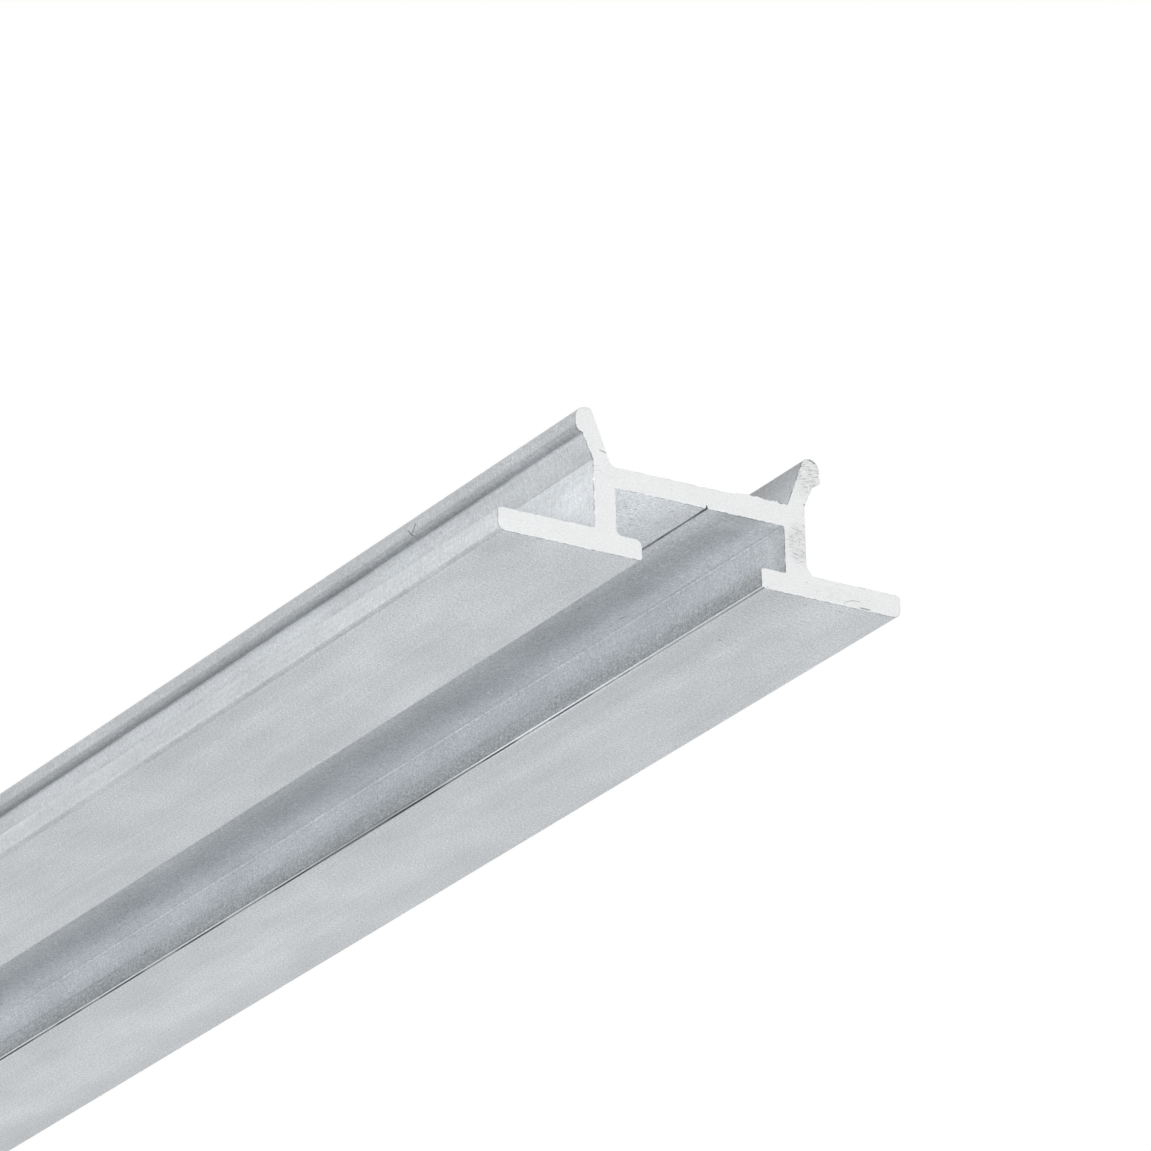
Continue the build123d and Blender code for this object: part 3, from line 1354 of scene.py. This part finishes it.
@dataclass(frozen=True)
class Lamp:
    """One soft lamp.

    Attributes:
        name: Its name.
        place: Where it stands, in metres.
        size: Side of its square face, in metres.
        watts: Its power.
        aim: What it points at, in metres.
    """

    name: str
    place: Triple
    size: float
    watts: float
    aim: Triple = (0.0, -0.25, 0.0)

    def light(self) -> bpy.types.Object:
        """Puts the lamp in the scene and returns it."""
        data = bpy.data.lights.new(self.name, "AREA")
        data.shape = "SQUARE"
        data.size = self.size
        data.energy = self.watts
        lamp = bpy.data.objects.new(self.name, data)
        lamp.location = self.place
        aim = Vector(self.aim) - lamp.location
        lamp.rotation_euler = aim.to_track_quat("-Z", "Y").to_euler()
        lamp.visible_camera = False
        bpy.context.scene.collection.objects.link(lamp)
        return lamp


@dataclass(frozen=True)
class Studio:
    """Camera, lamps and floor round the piece.

    Attributes:
        azimuth: Camera's bearing round the piece, in degrees.
        elevation: Camera's height angle, in degrees; it looks up from below.
        roll: Camera's turn about its own axis, in degrees.
        focal_px: Focal length in pixels of the photograph's frame.
        scale_px: Pixels of that frame for one millimetre at the near end.
        near_end_px: Where the middle of the near end's foot is in that frame.
        frame_px: Width of that frame.
        light_below: Strength of the surroundings as a soft light from below.
        light_above: Strength of the surroundings as a soft light from above.
        floor_gap: Gap between the floor and the piece, in metres.
        floor_radius: Radius of the floor, in metres.
        floor_sides: Number of sides of its round edge.
        floor_level: Its grey.
        floor_clouds: Its faint clouds.
        floor_roughness: How dull it is.
    """

    azimuth: float = -32.712
    elevation: float = -22.797
    roll: float = -1.488
    focal_px: float = 8968.0
    scale_px: float = 12.614
    near_end_px: Point = (702.59, 574.10)
    frame_px: float = 1151.0
    light_below: float = 0.03
    light_above: float = 0.25
    floor_gap: float = 0.0002
    floor_radius: float = 4.0
    floor_sides: int = 96
    floor_level: float = 0.86
    floor_clouds: Mottle = Mottle((400.0, 400.0, 400.0), detail=3.0, amount=0.01)
    floor_roughness: float = 0.9
    lamps: tuple[Lamp, ...] = (
        Lamp("front", (-0.5, -1.45, -0.5), 0.6, 9.8),
        Lamp("side", (-1.0, -1.25, -0.55), 0.8, 12.4),
        Lamp("under", (0.5, -0.75, -1.0), 0.5, 7.35),
        Lamp("side_top", (-1.2, -0.9, 0.2), 0.8, 6.0),
        Lamp("key", (0.9, 0.5, 1.4), 1.0, 15.0, aim=(0.0, -0.1, 0.0)),
    )

    def camera(self, near_end: Vector) -> bpy.types.Object:
        """Makes the camera.

        Args:
            near_end: Middle of the near end's foot, in metres.

        Returns:
            The scene's camera.
        """
        azimuth, elevation = math.radians(self.azimuth), math.radians(self.elevation)
        back = Vector((
            math.sin(azimuth) * math.cos(elevation),
            -math.cos(azimuth) * math.cos(elevation),
            math.sin(elevation),
        ))
        right = Vector((math.cos(azimuth), math.sin(azimuth), 0))
        up = back.cross(right)
        turn = Matrix.Rotation(math.radians(self.roll), 3, back)
        right, up = turn @ right, turn @ up
        distance = self.focal_px / self.scale_px * MM
        across = (self.near_end_px[0] - self.frame_px / 2) / self.focal_px * distance
        down = (self.near_end_px[1] - self.frame_px / 2) / self.focal_px * distance
        data = bpy.data.cameras.new("camera")
        data.sensor_width = 36.0
        data.lens = self.focal_px / self.frame_px * data.sensor_width
        data.clip_start, data.clip_end = 0.01, 100.0
        camera = bpy.data.objects.new("camera", data)
        camera.matrix_world = Matrix((right, up, back)).transposed().to_4x4()
        camera.location = near_end + back * distance - right * across + up * down
        bpy.context.scene.collection.objects.link(camera)
        bpy.context.scene.camera = camera
        return camera

    def world(self) -> None:
        """Makes the surroundings: white to look at and in reflections, dimmer as a soft light."""
        world = bpy.data.worlds.new("studio")
        bpy.context.scene.world = world
        world.use_nodes = True
        nodes = Nodes(world.node_tree)
        white = nodes.tree.nodes["Background"]
        nodes.set(white.inputs["Color"], grey(1.0))
        way = nodes.add("TexCoord").outputs["Generated"]
        height = nodes.add("SeparateXYZ", way).outputs["Z"]
        strength = nodes.ease(height, -0.5, 0.5, self.light_below, self.light_above)
        soft = nodes.add("Background", grey(1.0), strength)
        diffuse = nodes.add("LightPath").outputs["Is Diffuse Ray"]
        mix = nodes.add("MixShader", diffuse, white.outputs[0], soft.outputs[0])
        nodes.set(nodes.tree.nodes["World Output"].inputs[0], mix.outputs[0])

    def floor_material(self) -> bpy.types.Material:
        """Returns the floor's finish, clear from below and towards its edge."""
        graph = Graph("pale_floor")
        graph.paint(grey(self.floor_level), graph.mottled(self.floor_clouds), 0.0, self.floor_roughness)
        below = graph.add("NewGeometry").outputs["Backfacing"]
        radius = self.floor_radius / MM
        away = graph.vector("LENGTH", graph.place)
        fade = graph.ease(away, 0.4 * radius, 0.98 * radius, 0.0, 1.0)
        clear = graph.add("BsdfTransparent").outputs[0]
        share = graph.math("MAXIMUM", below, fade)
        mix = graph.add("MixShader", share, graph.shader.outputs[0], clear)
        graph.set(graph.tree.nodes["Material Output"].inputs[0], mix.outputs[0])
        return graph.material

    def floor(self, level: float) -> bpy.types.Object:
        """Makes the floor, which shows only from above and fades out at its edge.

        Args:
            level: Height of the floor, in metres.

        Returns:
            The floor.
        """
        mesh = bpy.data.meshes.new("floor")
        bm = bmesh.new()
        bmesh.ops.create_circle(bm, cap_ends=True, segments=self.floor_sides, radius=self.floor_radius)
        bm.to_mesh(mesh)
        bm.free()
        mesh.materials.append(self.floor_material())
        floor = bpy.data.objects.new("floor", mesh)
        floor.location.z = level
        bpy.context.scene.collection.objects.link(floor)
        floor.visible_diffuse = False
        floor.visible_glossy = False
        floor.visible_transmission = False
        floor.visible_shadow = False
        floor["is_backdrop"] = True
        return floor


def main() -> None:
    """Builds the piece and the studio, and measures the bounds of the shown objects."""
    logging.basicConfig(level=logging.INFO, format="%(name)s: %(message)s")
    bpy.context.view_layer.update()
    low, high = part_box(NODE)
    profile = TeeProfile(low, high).build(MillFinish(), SawnFinish())
    triangles = sum(len(polygon.vertices) - 2 for polygon in profile.data.polygons)
    LOG.info("%s: %d triangles", profile.name, triangles)
    studio = Studio()
    studio.camera(Vector(((low.x + high.x) / 2, low.y, low.z)))
    studio.world()
    studio.floor(low.z - studio.floor_gap)
    for lamp in studio.lamps:
        LOG.info("lamp %s: %g W", lamp.light().name, lamp.watts)
    bpy.context.scene.view_settings.view_transform = "Standard"
    low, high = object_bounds()


if __name__ == "__main__":
    main()
